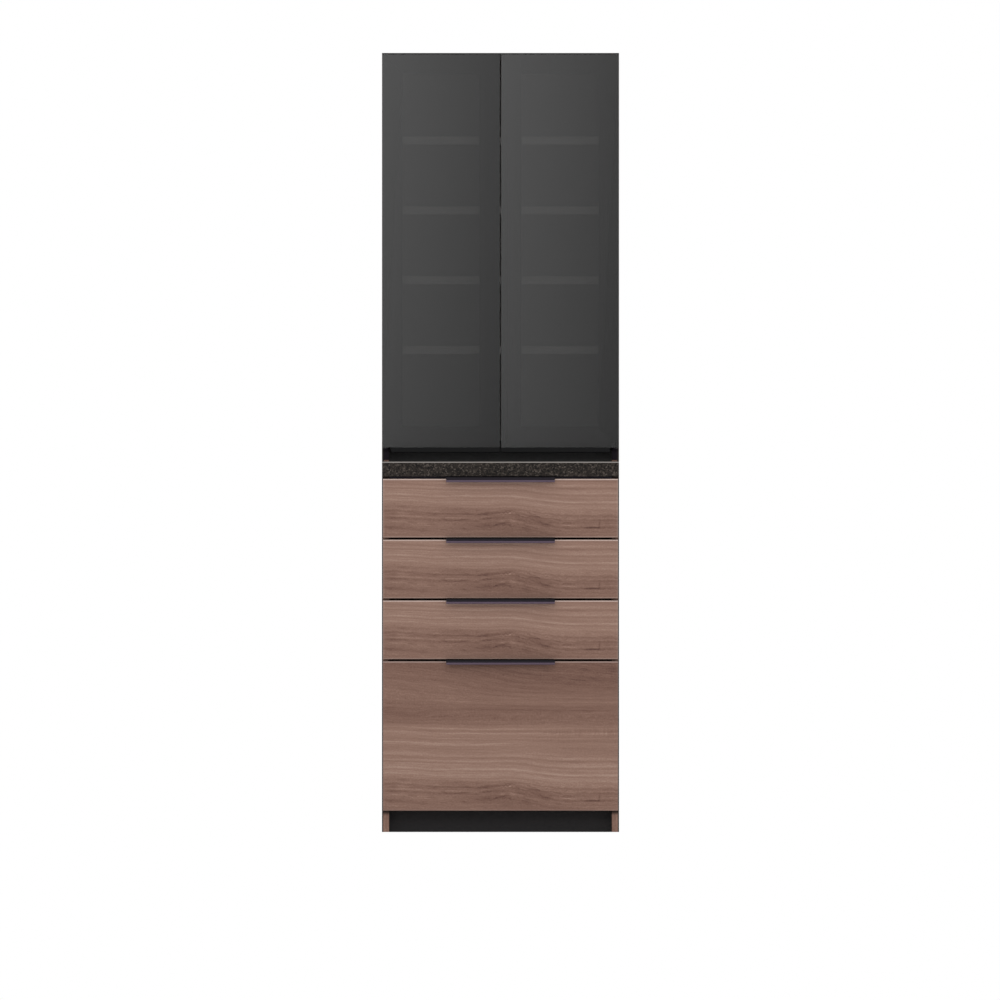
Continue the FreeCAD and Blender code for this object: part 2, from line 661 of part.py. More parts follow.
def drawer_nodes():
    _, middle_rail, inner_rail = slide_rails()
    nodes = {}
    for number, (lower_edge, front_height, box_height) in enumerate(drawer_plan(), start=1):
        name = "drawer_%d_" % number
        box_low = lower_edge + BOX_LIFT
        lift = ALONG_Z * slide_middle_z(lower_edge)
        bottom = drawer_bottom(box_low)
        nodes[name + "front"] = [drawer_front(lower_edge, front_height)]
        nodes[name + "pull"] = [drawer_pull(lower_edge + front_height)]
        nodes[name + "box_walls"] = drawer_walls(box_low, box_height, bottom)
        nodes[name + "bottom"] = [bottom]
        nodes[name + "inner_rails"] = both_sides(inner_rail.translated(lift))
        nodes[name + "middle_rails"] = both_sides(middle_rail.translated(lift))
    return nodes


def single_solid(shape):
    """The one solid of a piece, so that a node holds plain solids."""
    if len(shape.Solids) != 1:
        raise ValueError("a piece came out as %d solids" % len(shape.Solids))
    return shape.Solids[0]


def write_parts():
    os.makedirs("parts", exist_ok=True)
    nodes = {**cabinet_nodes(), **door_nodes(), **drawer_nodes()}
    for name, pieces in nodes.items():
        solids = [single_solid(piece) for piece in pieces]
        shape = solids[0] if len(solids) == 1 else Part.makeCompound(solids)
        shape.exportStep("parts/" + name + ".step")
    print("%d nodes, %d solids" % (len(nodes), sum(len(pieces) for pieces in nodes.values())))


write_parts()
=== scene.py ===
# %% [markdown]
# A tall kitchen cupboard: four walnut-finish drawers under a dark speckled countertop, and a unit with two
# smoked-glass doors standing on it. The solid pieces come from the imported CAD model, already in metres and
# in place, so this lesson is about finishes, light and the small fittings. The box that the CAD model fills
# is kept.

# %% Load the imported cupboard
import json
import math

import bmesh
import bpy
from mathutils import Matrix, Vector


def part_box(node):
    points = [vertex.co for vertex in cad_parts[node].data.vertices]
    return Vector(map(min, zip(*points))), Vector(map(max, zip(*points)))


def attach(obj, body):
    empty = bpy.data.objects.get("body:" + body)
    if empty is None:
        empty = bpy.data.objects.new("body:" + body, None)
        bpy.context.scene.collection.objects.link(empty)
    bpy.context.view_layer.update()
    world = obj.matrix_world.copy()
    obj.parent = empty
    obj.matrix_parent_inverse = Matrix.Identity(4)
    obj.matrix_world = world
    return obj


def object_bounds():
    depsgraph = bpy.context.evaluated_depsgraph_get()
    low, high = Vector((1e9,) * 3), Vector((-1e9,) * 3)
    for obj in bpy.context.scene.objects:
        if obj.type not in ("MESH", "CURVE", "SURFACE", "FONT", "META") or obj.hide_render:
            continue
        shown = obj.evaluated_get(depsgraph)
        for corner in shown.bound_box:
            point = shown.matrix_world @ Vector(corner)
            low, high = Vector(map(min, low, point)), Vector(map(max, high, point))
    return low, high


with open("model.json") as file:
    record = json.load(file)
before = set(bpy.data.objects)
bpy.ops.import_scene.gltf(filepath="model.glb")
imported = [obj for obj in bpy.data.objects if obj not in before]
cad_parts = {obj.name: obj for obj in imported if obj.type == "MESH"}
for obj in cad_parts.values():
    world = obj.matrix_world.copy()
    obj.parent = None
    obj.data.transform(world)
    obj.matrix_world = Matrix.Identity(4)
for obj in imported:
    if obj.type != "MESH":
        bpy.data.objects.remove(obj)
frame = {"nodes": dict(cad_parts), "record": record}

cad_box = [list(corner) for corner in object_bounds()]
nodes = frame["nodes"]
scene = bpy.context.scene
print("CAD pieces:", len(nodes), "box:", [[round(v, 4) for v in corner] for corner in cad_box])

# %% [markdown]
# The picture was taken square to the front, with no vanishing lines: the sides of the cupboard are not seen
# at all. An orthographic camera does the same. Three pixel places, the top, the floor line and the middle,
# give its scale and its aim, so the cupboard fills the frame exactly as it does there.

# %% Camera
PICTURE_SIDE = 1000
PICTURE_TOP_ROW = 53
PICTURE_FLOOR_ROW = 832
PICTURE_MIDDLE_COLUMN = 500.5
CAMERA_DISTANCE = 6.0

height = cad_box[1][2]
metres_per_pixel = height / (PICTURE_FLOOR_ROW - PICTURE_TOP_ROW)
camera_data = bpy.data.cameras.new("camera")
camera_data.type = "ORTHO"
camera_data.ortho_scale = PICTURE_SIDE * metres_per_pixel
camera_data.clip_end = 40.0
camera = bpy.data.objects.new("camera", camera_data)
aim_x = (PICTURE_SIDE / 2 - PICTURE_MIDDLE_COLUMN) * metres_per_pixel
aim_z = (PICTURE_FLOOR_ROW - PICTURE_SIDE / 2) * metres_per_pixel
camera.location = (aim_x, -CAMERA_DISTANCE, aim_z)
camera.rotation_euler = (math.pi / 2, 0, 0)
scene.collection.objects.link(camera)
scene.camera = camera
print("one pixel is %.2f mm" % (1000 * metres_per_pixel))

# %% [markdown]
# Every finish below is a small graph of shader nodes. Placing and wiring dozens of Math nodes by hand hides
# the idea, so one class wraps an output socket and lets plain Python arithmetic build the Math nodes. Any
# other node comes from its `node` method: the type, the settings that have to be set first, then the
# sockets.

# %% Arithmetic on sockets
class Flow:
    """What comes out of one socket; arithmetic on it adds Math nodes to the same tree."""

    def __init__(self, socket):
        self.socket = socket

    def node(self, kind, settings=None, sockets=None, output=0):
        made = self.socket.id_data.nodes.new("ShaderNode" + kind)
        for name, value in (settings or {}).items():
            if name == "stops":
                fill_ramp(made.color_ramp, value)
            else:
                setattr(made, name, value)
        for name, value in (sockets or {}).items():
            feed(made.inputs[name], value)
        return Flow(made.outputs[output])

    def math(self, operation, *values):
        return self.node("Math", {"operation": operation}, dict(enumerate(values)))

    def __add__(self, other):
        return self.math("ADD", self, other)

    def __sub__(self, other):
        return self.math("SUBTRACT", self, other)

    def __rsub__(self, other):
        return self.math("SUBTRACT", other, self)

    def __mul__(self, other):
        return self.math("MULTIPLY", self, other)

    def __truediv__(self, other):
        return self.math("DIVIDE", self, other)

    def larger(self, other):
        return self.math("MAXIMUM", self, other)

    __radd__ = __add__
    __rmul__ = __mul__


def feed(socket, value):
    """Link a flow to a socket, or set a plain value on it."""
    if isinstance(value, Flow):
        socket.id_data.links.new(value.socket, socket)
    elif socket.type == "RGBA":
        socket.default_value = (*value, 1.0)
    else:
        socket.default_value = value


def fill_ramp(ramp, stops):
    """Set a colour ramp from (position, colour) pairs."""
    while len(ramp.elements) < len(stops):
        ramp.elements.new(1.0)
    for element, (position, colour) in zip(ramp.elements, stops):
        element.position = position
        element.color = (*colour, 1.0)


print("socket arithmetic ready")

# %% [markdown]
# Soft studio light: a wide lamp high in front makes the top edges catch light and drops a short soft shadow
# under each pull, a weaker lamp shapes the back, and a pale world fills the rest. The camera, and
# mirror-like surfaces, see that world as plain white, while matt surfaces get only its softer share, so
# that colours come out about as they are written.

# %% World and lamps
FILL_STRENGTH = 0.83
LAMP_DISTANCE = 10.0
LAMP_SIZE = 4.0
LAMP_AIM = Vector((0.0, 0.0, 0.8))
LAMPS = {"front_lamp": (0.0, 20.0, 160.0), "rear_lamp": (152.0, 35.0, 150.0)}
PLAIN_WHITE = (1.0, 1.0, 1.0)


def seen_directly(tree):
    """1 for what the camera, a mirror or a clear pane shows, 0 for light that falls on a matt surface."""
    outputs = tree.nodes.new("ShaderNodeLightPath").outputs
    rays = [Flow(outputs[name]) for name in ("Is Camera Ray", "Is Glossy Ray", "Is Transmission Ray")]
    return rays[0].larger(rays[1]).larger(rays[2])


world = bpy.data.worlds.new("studio")
world.use_nodes = True
seen = seen_directly(world.node_tree)
plain = seen.node("Background", sockets={"Color": PLAIN_WHITE, "Strength": 1.0})
soft = seen.node("Background", sockets={"Color": PLAIN_WHITE, "Strength": FILL_STRENGTH})
mixed = seen.node("MixShader", sockets={0: seen, 1: soft, 2: plain})
feed(world.node_tree.nodes["World Output"].inputs["Surface"], mixed)
scene.world = world
scene.view_settings.view_transform = "Standard"

for name, (round_degrees, rise_degrees, watts) in LAMPS.items():
    around, rise = math.radians(round_degrees), math.radians(rise_degrees)
    level = math.cos(rise)
    direction = Vector((math.sin(around) * level, -math.cos(around) * level, math.sin(rise)))
    lamp_data = bpy.data.lights.new(name, "AREA")
    lamp_data.shape = "DISK"
    lamp_data.size = LAMP_SIZE
    lamp_data.energy = watts
    lamp = bpy.data.objects.new(name, lamp_data)
    lamp.location = LAMP_AIM + LAMP_DISTANCE * direction
    lamp.rotation_euler = direction.to_track_quat("Z", "Y").to_euler()
    scene.collection.objects.link(lamp)
    print(name, [round(v, 2) for v in lamp.location], watts, "W")

# %% [markdown]
# A finish starts from the point on the piece. The CAD pieces sit at the origin with their place in their
# vertices, so Object coordinates are the cupboard's own coordinates, and they travel with a drawer or a
# door that moves. In millimetres, the numbers in a finish are the ones that a maker would measure on the
# board.

# %% Finish helpers
def channel_to_linear(level):
    share = level / 255
    return share / 12.92 if share <= 0.04045 else ((share + 0.055) / 1.055) ** 2.4


def rgb(red, green, blue):
    """A colour as a picture editor shows it, turned into the linear values that shaders use."""
    return tuple(channel_to_linear(level) for level in (red, green, blue))


def grey(level):
    return (level, level, level)


def new_finish(name):
    """A fresh material and the point on the piece that its nodes start from."""
    material = bpy.data.materials.new(name)
    material.use_nodes = True
    coordinates = material.node_tree.nodes.new("ShaderNodeTexCoord")
    return material, Flow(coordinates.outputs["Object"])


def set_look(material, sockets):
    shader = material.node_tree.nodes["Principled BSDF"]
    for name, value in sockets.items():
        feed(shader.inputs[name], value)
    return material


def millimetres(point):
    parts = point.node("SeparateXYZ", sockets={0: point}).socket.node.outputs
    return [Flow(part) * 1000.0 for part in parts]


def smooth(value, low, high):
    """0 at low, 1 at high, eased between; low may be the larger of the two."""
    ease = {"interpolation_type": "SMOOTHSTEP"}
    return value.node("MapRange", ease, {"Value": value, "From Min": low, "From Max": high})


def within(value, limit, softness=0.3):
    """1 under the limit, 0 over it, with a narrow soft edge."""
    return smooth(value, limit + softness, limit)


def bell(value, middle, half_width):
    """1 at the middle, falling off smoothly to both sides."""
    far = value.math("MULTIPLY_ADD", value, 1.0 / half_width, -middle / half_width)
    return far.math("POWER", math.exp(-1.0), far * far)


def add_share(total, part, share):
    """The total and a share of one more part, in a single node."""
    return part.math("MULTIPLY_ADD", part, share, total)


def streaks(along, across, length, thickness, seed=0.0, detail=3.0):
    """Noise about 0 drawn out along one direction, with patches of about that length and thickness."""
    spot = along.node("CombineXYZ", sockets={0: along / length, 1: across / thickness, 2: seed})
    settings = {"Vector": spot, "Scale": 1.0, "Detail": detail, "Roughness": 0.55}
    return spot.node("TexNoise", sockets=settings) - 0.5


def grains(point, size, detail=2.0):
    """Noise from 0 to 1 with grains of about that size in millimetres, alike in every direction."""
    settings = {"Vector": point, "Scale": 1000.0 / size, "Detail": detail, "Roughness": 0.5}
    return point.node("TexNoise", sockets=settings)


def blend(share, first, second):
    """Two colours mixed by a share from 0 to 1."""
    return share.node("Mix", {"data_type": "RGBA"}, {0: share, 6: first, 7: second}, output=2)


def bump(height, strength, distance):
    return height.node("Bump", sockets={"Height": height, "Strength": strength, "Distance": distance})


def dress(material, *names):
    for name in names:
        nodes[name].material_slots[0].material = material


def box_mm(name):
    """Lowest and highest corner of a CAD piece, in millimetres."""
    return [1000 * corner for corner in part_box(name)]


print("finish helpers ready")

# %% [markdown]
# The floor is a pale disc. It keeps the soft shadow round the cupboard's foot, and fades into the white of
# the world further out, so that no horizon shows from any side.

# %% Floor
FLOOR_RADIUS = 7.0
FLOOR_DROP = 0.0006
FADE_FROM = 900.0
FADE_TO = 3200.0

floor_mesh = bpy.data.meshes.new("floor")
disc = bmesh.new()
bmesh.ops.create_circle(disc, cap_ends=True, segments=96, radius=FLOOR_RADIUS)
disc.to_mesh(floor_mesh)
disc.free()
floor = bpy.data.objects.new("floor", floor_mesh)
floor.location.z = -FLOOR_DROP
scene.collection.objects.link(floor)

floor_finish, point = new_finish("pale_floor")
x, y, z = millimetres(point)
distance = x.math("SQRT", x * x + y * y)
pale = blend(grains(point, 40.0), rgb(236, 236, 236), rgb(242, 242, 242))
set_look(floor_finish, {"Base Color": pale, "Roughness": 0.7})
shader_out = Flow(floor_finish.node_tree.nodes["Principled BSDF"].outputs[0])
bright = x.node("Emission", sockets={"Color": PLAIN_WHITE, "Strength": 1.0})
gone = smooth(distance, FADE_FROM, FADE_TO) * seen_directly(floor_finish.node_tree)
faded = x.node("MixShader", sockets={0: gone, 1: shader_out, 2: bright})
feed(floor_finish.node_tree.nodes["Material Output"].inputs["Surface"], faded)
floor_mesh.materials.append(floor_finish)
print("floor radius", FLOOR_RADIUS, "m")

# %% [markdown]
# Walnut film is printed wood: streaks of several sizes lie on each other, and short dark pores run with
# them. The same layers serve every walnut board, so they are one helper. `along` runs with the grain and
# `across` over it, and the result is a tone from about 0, dark, to 1, pale, which a colour ramp turns into
# brown.

# %% Walnut layers
WALNUT_TONES = [(0.0, rgb(83, 56, 48)), (0.35, rgb(115, 85, 73)), (0.6, rgb(131, 101, 88)),
                (0.8, rgb(145, 115, 101)), (1.0, rgb(166, 138, 124))]


def walnut_layers(along, across, seed):
    """Tone of the streaks, the finest of them for the relief, and the pores."""
    broad = streaks(along, across, 240.0, 12.0, seed, 2.0) * 0.36
    medium = streaks(along, across, 150.0, 5.0, seed + 4.0, 3.0) * 0.46
    short = streaks(along, across, 26.0, 2.8, seed + 8.0, 2.0) * 0.34
    flecks = streaks(along, across, 4.5, 2.6, seed + 20.0, 1.0) * 0.44
    hairs = streaks(along, across, 24.0, 0.6, seed + 12.0, 2.0) * 0.25
    pores = smooth(streaks(along, across, 12.0, 0.45, seed + 16.0, 1.0), 0.12, 0.24)
    return broad + medium + short + flecks + hairs - pores * 0.10, hairs, pores


def walnut_look(material, tone, hairs, pores, edge, edge_colour):
    """Finish a walnut board from its tone; edge is where another colour shows."""
    brown = tone.node("ValToRGB", {"stops": WALNUT_TONES}, {0: tone})
    return set_look(material, {"Base Color": blend(edge, brown, edge_colour), "Specular IOR Level": 0.2,
                               "Roughness": 0.48 + pores * 0.15 - hairs * 0.3,
                               "Normal": bump(hairs - pores * 0.6, 0.25, 0.0003)})


print("walnut ramp stops:", len(WALNUT_TONES))

# %% [markdown]
# The drawer fronts have the grain lying across. Every front is cut from the same repeat of the print,
# measured up from its lower edge, so the four fronts share one figure and the deep front shows more of it.
# All numbers here are millimetres on the front: `x` from its middle, `h` up from its lower edge, and `s`
# for the height on the print before its lines were pushed about. A ramp over `s` gives the broad bands. The
# lines crest a little right of the middle, sink towards the right end, fall across the upper part, and
# ripple most low down.

# %% Bands of the drawer print
PRINT_HEIGHT = 400.0
BAND_TONES = [(0, 0.58), (22, 0.54), (40, 0.57), (60, 0.58), (70, 0.65), (84, 0.77), (104, 0.80),
              (134, 0.76), (166, 0.75), (196, 0.72), (214, 0.69), (219, 0.50), (248, 0.48), (262, 0.52),
              (276, 0.60), (290, 0.55), (310, 0.52), (325, 0.47), (345, 0.42), (379, 0.33)]


def print_height(x, h):
    """Where a point of the front lies on the straightened print: the figure pushes it up or down."""
    sink = smooth(h, 215.0, 50.0) * smooth(x, 10.0, 185.0) * 17.0
    left_rise = smooth(x, -130.0, -290.0) * 6.5
    crest = bell(x, 20.0, 42.0) * bell(h, 54.0, 20.0) * 7.0
    fall = smooth(h, 250.0, 330.0) * (smooth(x, -170.0, 110.0) * 30.0 + x * 0.06)
    step = bell(h, 250.0, 20.0) * smooth(x, -225.0, -135.0) * 12.0
    restless = 0.28 + smooth(h, 86.0, 64.0) * 0.80 + smooth(h, 205.0, 235.0) * 0.4
    wander = streaks(x, h, 150.0, 45.0, 3.0, 1.0) * 6.0
    ripple = streaks(x, h, 36.0, 14.0, 5.0, 1.0) * 7.0 + streaks(x, h, 11.0, 9.0, 9.0, 1.0) * 6.0
    return h + sink + fall - crest - left_rise - step + wander + ripple * restless


def print_bands(s):
    """Tone of the broad bands."""
    stops = [(at / PRINT_HEIGHT, grey(tone)) for at, tone in BAND_TONES]
    return s.node("ValToRGB", {"stops": stops}, {0: s / PRINT_HEIGHT})


def light_zone(s):
    """The plain pale stretch in the middle of the print."""
    return smooth(s, 70.0, 86.0) * smooth(s, 222.0, 212.0)


print("bands in the print:", len(BAND_TONES))

# %% [markdown]
# Lines lie on the bands. A long line has its height `s`, its half thickness, and the tone that it adds,
# which is dark below zero. Low on the front the lines change along their length, so each of those has three
# tones: at the left, in the middle and at the right. A stroke is one short mark: its middle `x` and `h`,
# its half length, half thickness and slope, and its tone. Each is a bell over distance, and noise breaks it
# up along its length.

# %% Lines and strokes of the drawer print
PRINT_LINES = [(90, 3.4, 0.06), (98.7, 1.9, -0.08), (104.5, 2.2, 0.11), (119, 1.9, -0.07),
               (124.5, 2.0, 0.10), (132.5, 2.2, -0.11), (140, 2.4, 0.06), (155, 4.0, -0.06),
               (167.5, 2.6, 0.06), (178, 4.0, -0.05), (195, 2.2, 0.12), (200.5, 1.9, -0.11),
               (207, 2.4, 0.06), (243, 2.4, -0.12), (253, 3.0, -0.06), (264, 3.0, -0.05)]
LOW_LINES = [(20, 3.0, (-0.02, -0.04, -0.03)), (34, 3.0, (0.05, -0.03, 0.0)),
             (40.5, 2.4, (0.0, 0.0, -0.12)), (43.5, 2.6, (-0.06, -0.05, 0.0)),
             (47.5, 2.0, (0.0, 0.0, 0.08)), (53, 2.0, (0.0, 0.0, -0.09)),
             (59.5, 2.8, (-0.05, -0.10, -0.12)), (65, 2.0, (0.04, 0.03, 0.08)),
             (71, 2.4, (-0.06, -0.06, -0.14))]
STROKES = [(-262, 49.3, 36, 2.4, -0.02, -0.25), (-112, 43.8, 34, 2.3, 0.0, -0.20),
           (-26, 48.8, 29, 2.6, 0.12, -0.30), (-232, 54.5, 48, 2.2, -0.035, 0.22),
           (-140, 50.2, 46, 2.0, -0.02, 0.17), (-190, 46.5, 40, 2.2, -0.04, -0.15),
           (-140, 59.8, 66, 3.0, 0.0, -0.22), (-22, 61.5, 26, 2.6, 0.08, -0.18),
           (22, 68.3, 15, 2.2, 0.0, -0.20), (25, 62, 7, 2.5, 0.2, 0.22),
           (6, 42, 8, 2.4, 0.0, 0.20), (31, 42, 8, 2.6, -0.1, 0.16),
           (44, 54, 4, 10, 0.0, -0.10), (11, 48.5, 9, 2.4, 0.1, -0.12),
           (5, 34.5, 10, 2.6, -0.05, -0.30), (-30, 30, 24, 6.5, 0.1, -0.17),
           (33, 31.5, 10, 2.6, -0.1, -0.12), (85, 54.5, 20, 3.0, -0.22, -0.15),
           (62, 23, 10, 3.0, 0.0, -0.14), (114, 33, 13, 2.6, -0.2, -0.27),
           (128, 38, 5, 1.8, 0.0, -0.18), (143, 45.5, 7, 1.8, 0.0, -0.16),
           (172, 25.5, 28, 2.2, -0.03, -0.10), (165, 31.5, 34, 2.0, -0.12, 0.16),
           (232, 24.7, 20, 2.2, 0.0, -0.44), (-272, 27, 22, 4.0, 0.0, -0.09),
           (-262, 41.2, 30, 2.2, -0.04, 0.15), (-250, 78.6, 19, 2.2, 0.0, -0.13),
           (-120, 72.6, 28, 2.2, 0.0, -0.13), (-283, 69, 11, 2.4, 0.0, -0.12)]


def print_lines(x, s):
    """Tone that the long lines add."""
    lines = streaks(x, s, 700.0, 4.2, 33.0, 1.0) * light_zone(s) * 0.25
    for at, thickness, tone in PRINT_LINES:
        lines = add_share(lines, bell(s, at, thickness), tone)
    uneven = streaks(x, s, 70.0, 7.0, 61.0, 3.0)
    lines = lines * (1.0 + uneven * 2.8)
    broken = 1.0 + uneven * 1.6
    left, right = smooth(x, -60.0, -130.0), smooth(x, 110.0, 160.0)
    for at, thickness, (at_left, at_centre, at_right) in LOW_LINES:
        tone = at_centre + left * (at_left - at_centre) + right * (at_right - at_centre)
        lines = add_share(lines, bell(s, at, thickness), tone * broken)
    return lines


def print_strokes(x, h):
    """Tone that the single strokes add."""
    strokes = 0.0
    for middle, at, half_length, thickness, slope, tone in STROKES:
        level = x.math("MULTIPLY_ADD", x, -slope, h)
        stroke = bell(x, middle, half_length) * bell(level, at - middle * slope, thickness)
        strokes = add_share(strokes, stroke, tone)
    frayed = 1.0 + streaks(x, h, 22.0, 5.0, 83.0, 3.0) * 2.0
    return strokes * frayed


print("lines:", len(PRINT_LINES) + len(LOW_LINES), "strokes:", len(STROKES))

# %% [markdown]
# Some marks have a shape of their own: knots and nested arches round the crest, the dark heart under it, a
# small curl over it, a tick near the right end, a shimmer across the grain, and the dark ribbons and the
# pale patch of the upper part. Each is where it lies times what it looks like, and the figure is their sum.

# %% Figure of the drawer print
def print_figure(x, h, s):
    """Tone that the marks with a shape of their own add."""
    low_zone = smooth(h, 74.0, 60.0) * smooth(h, 8.0, 26.0)
    centre = 0.6 + bell(x, 10.0, 130.0) * 0.6
    pale_knots = smooth(streaks(x, s, 24.0, 3.2, 43.0, 4.0), 0.06, 0.20) * 0.13
    dark_knots = smooth(streaks(x, s, 26.0, 3.8, 41.0, 4.0), 0.0, 0.16) * centre * 0.19
    off_crest = (x + 4.0) / 48.0
    arch = bell(h + off_crest * off_crest * 7.0, 33.0, 7.0) * bell(x, -8.0, 42.0) * 0.06
    flank = bell(h + x * 0.29, 71.0, 8.0) * bell(x, 95.0, 36.0) * 0.10
    torn = 1.0 + streaks(x, s, 18.0, 3.4, 47.0, 4.0) * 4.0
    heart = bell(x, 48.0, 88.0) * smooth(h, 64.0, 42.0) * 0.08
    wavy_h = h - x.math("SINE", x / 1.7) * 2.2
    curl = bell(x, 16.0, 21.0) * (bell(wavy_h, 59.5, 1.5) * 0.18 - bell(wavy_h, 64.0, 1.5) * 0.24)
    tick = bell(x - h * 0.2, 243.8, 2.0) * bell(h, 33.0, 10.0) * 0.28
    shimmer = streaks(h, x, 30.0, 5.0, 29.0, 1.0) * bell(h, 198.0, 10.0) * smooth(x, 80.0, 150.0) * 0.35
    glow = smooth(h, 120.0, 150.0) * smooth(h, 225.0, 205.0) * (0.05 - smooth(x, 0.0, 220.0) * 0.09)
    pale_patch = bell(x, -165.0, 75.0) * bell(h, 312.0, 26.0) * 0.07
    torn_lines = smooth(streaks(x, h + x * 0.12, 50.0, 7.0, 91.0, 3.0), 0.0, 0.16)
    ribbons = torn_lines * smooth(x, 60.0, 180.0) * smooth(h, 290.0, 345.0) * 0.13
    low_marks = low_zone * (pale_knots - dark_knots) - (arch + flank) * torn - heart + curl - tick
    return low_marks + shimmer + glow + pale_patch - ribbons


print("figure of the print ready")

# %% [markdown]
# Last come the edges of a front. Along the top, behind a dark glue line, the arris has a painted highlight.
# It shows as a thin light line over each drawer and is dimmer on the lower drawers, and a soft painted shade
# lies under it. The other edges are eased, with a painted highlight that makes them a little paler. Right
# under the pull the print is painted paler, to lift the pull's shadow. Low on the deep front it is painted a
# little lighter, where less lamp light reaches.

# %% Walnut drawer fronts
DRAWERS = range(1, 5)
TOP_ARRIS = 3.9
ARRIS_SOFTNESS = 0.4
# painted highlight on the top arris of each drawer, dimmer lower down
ARRIS_HIGHLIGHTS = {1: rgb(207, 185, 175), 2: rgb(194, 172, 162), 3: rgb(191, 169, 160), 4: rgb(160, 137, 129)}
ARRIS_SHADES = {1: 0.18, 2: 0.06, 3: 0.06, 4: 0.03}
GLUE_LINE = 0.9
GLUE_COLOUR = rgb(58, 44, 38)
EDGE_EASE = 3.4
# painted highlight on the eased side and bottom edges of a front
SIDE_EDGE_HIGHLIGHT = 0.16
FOOT_EDGE_HIGHLIGHT = 0.24
# painted light: how much lighter the low part of each front is, where less lamp light reaches
LOW_LIGHT_LIFTS = {1: 0.0, 2: 0.0, 3: 0.0, 4: 0.05}
# painted light that lifts the shadow under each pull
PULL_SHADOW_LIFT = 0.12


def walnut_front(number, low, high):
    material, point = new_finish("walnut_front_%d" % number)
    x, y, z = millimetres(point)
    h, from_top = z - low.z, high.z - z
    from_side = high.x - x.math("ABSOLUTE", x)
    s = print_height(x, h)
    layers, hairs, pores = walnut_layers(x, s, 7.0)
    tone = print_bands(s) + layers * (1.0 - light_zone(s) * 0.4)
    tone = tone + print_lines(x, s) + print_strokes(x, h) + print_figure(x, h, s)
    # painted light on the lower part of the deep front
    tone = tone + smooth(h, 150.0, 100.0) * LOW_LIGHT_LIFTS[number]
    # painted shade under the top arris, deepest on the first drawer under the countertop
    tone = tone - smooth(from_top, TOP_ARRIS + 8.0, TOP_ARRIS + 1.0) * ARRIS_SHADES[number]
    # painted light: the print right under the pull is paler, to lift the pull's shadow
    pull_low, pull_high = box_mm("drawer_%d_pull" % number)
    pull_depth, pull_end = high.z - pull_low.z, high.x - pull_high.x
    pull_shadow_light = smooth(from_top, pull_depth + 9.0, pull_depth) * smooth(from_side, pull_end, pull_end + 3.0)
    tone = tone + pull_shadow_light * PULL_SHADOW_LIFT
    glue = within(from_top, GLUE_LINE)
    # painted highlight along the top arris
    top_arris_highlight = within(from_top, TOP_ARRIS, ARRIS_SOFTNESS)
    # painted highlight: the eased sides and foot of the front are a little paler
    side_highlight = smooth(from_side, EDGE_EASE, EDGE_EASE - 1.0) * SIDE_EDGE_HIGHLIGHT
    eased = side_highlight.larger(smooth(h, EDGE_EASE, EDGE_EASE - 1.0) * FOOT_EDGE_HIGHLIGHT)
    face_side = within(y, low.y + TOP_ARRIS, ARRIS_SOFTNESS)
    edge = face_side * glue.larger(top_arris_highlight.larger(eased))
    edge_colour = blend(glue, ARRIS_HIGHLIGHTS[number], GLUE_COLOUR)
    return walnut_look(material, tone, hairs, pores, edge, edge_colour)


for number in DRAWERS:
    front = "drawer_%d_front" % number
    dress(walnut_front(number, *box_mm(front)), front)
print("walnut fronts:", len(DRAWERS))

# %% [markdown]
# The side panels wear the same film with the grain upright. Their figure comes from slow noise cut into many
# levels by a sine, which draws the nested arches of flat-sawn boards. The front edge is a band of its own. A
# dark line along its outer corner outlines the cupboard from the front: partly the dark seam of the band,
# partly painted shade where the edge lies back beside the fronts. On the base, the front edge also has
# painted shade where it shows in the gaps under and over the drawers.

# %% Walnut sides
EDGE_BAND = 0.5
BOARD_TONE = 0.66
# colour of the dark outline, and of the painted shade in the gaps
OUTLINE_AND_SHADE_COLOUR = rgb(26, 19, 17)
base_edge = box_mm("base_right_side")[0].y
upper_edge = box_mm("upper_right_side")[0].y
foot_top = box_mm("drawer_4_front")[0].z
first_top = box_mm("drawer_1_front")[1].z


def walnut_side(name, edge_y, gap_shade, outline_width):
    """Film of a side, with painted shade on its front edge in the gaps and a dark outline of that width."""
    material, point = new_finish(name)
    x, y, z = millimetres(point)
    across = y + x * 0.8
    arches = x.math("SINE", streaks(z, across, 900.0, 150.0, 31.0, 1.0) * 70.0) * 0.07
    layers, hairs, pores = walnut_layers(z, across, 37.0)
    # dark outline: partly the seam of the band, partly painted shade beside the fronts
    dark_outline = within(1000 * cad_box[1][0] - x.math("ABSOLUTE", x), outline_width)
    # painted shade on the front edge where it shows at the foot and over the first drawer
    at_foot = smooth(z, foot_top - 13.0, foot_top - 2.0) * smooth(z, foot_top + 8.0, foot_top)
    over_drawer = smooth(z, first_top - 2.0, first_top - 1.0)
    edge = within(y, edge_y + EDGE_BAND) * dark_outline.larger((at_foot + over_drawer) * gap_shade)
    return walnut_look(material, BOARD_TONE + arches + layers, hairs, pores, edge, OUTLINE_AND_SHADE_COLOUR)


base_film = walnut_side("walnut_base_sides", base_edge, gap_shade=0.9, outline_width=2.6)
upper_film = walnut_side("walnut_upper_sides", upper_edge, gap_shade=0.0, outline_width=4.6)
dress(base_film, "base_left_side", "base_right_side")
dress(upper_film, "upper_left_side", "upper_right_side")
print("walnut sides: 4, front edges at", round(base_edge, 1), "and", round(upper_edge, 1), "mm")

# %% [markdown]
# The countertop is dark laminate with stone-like speckles. Voronoi cells cut the surface into angular chips,
# each with a random number that a ramp turns into a shade: most are nearly black, a few are pale. A softer
# noise gathers them into patches. The bevelled front arris gets a painted highlight, which reads as a thin
# light line along the whole edge.

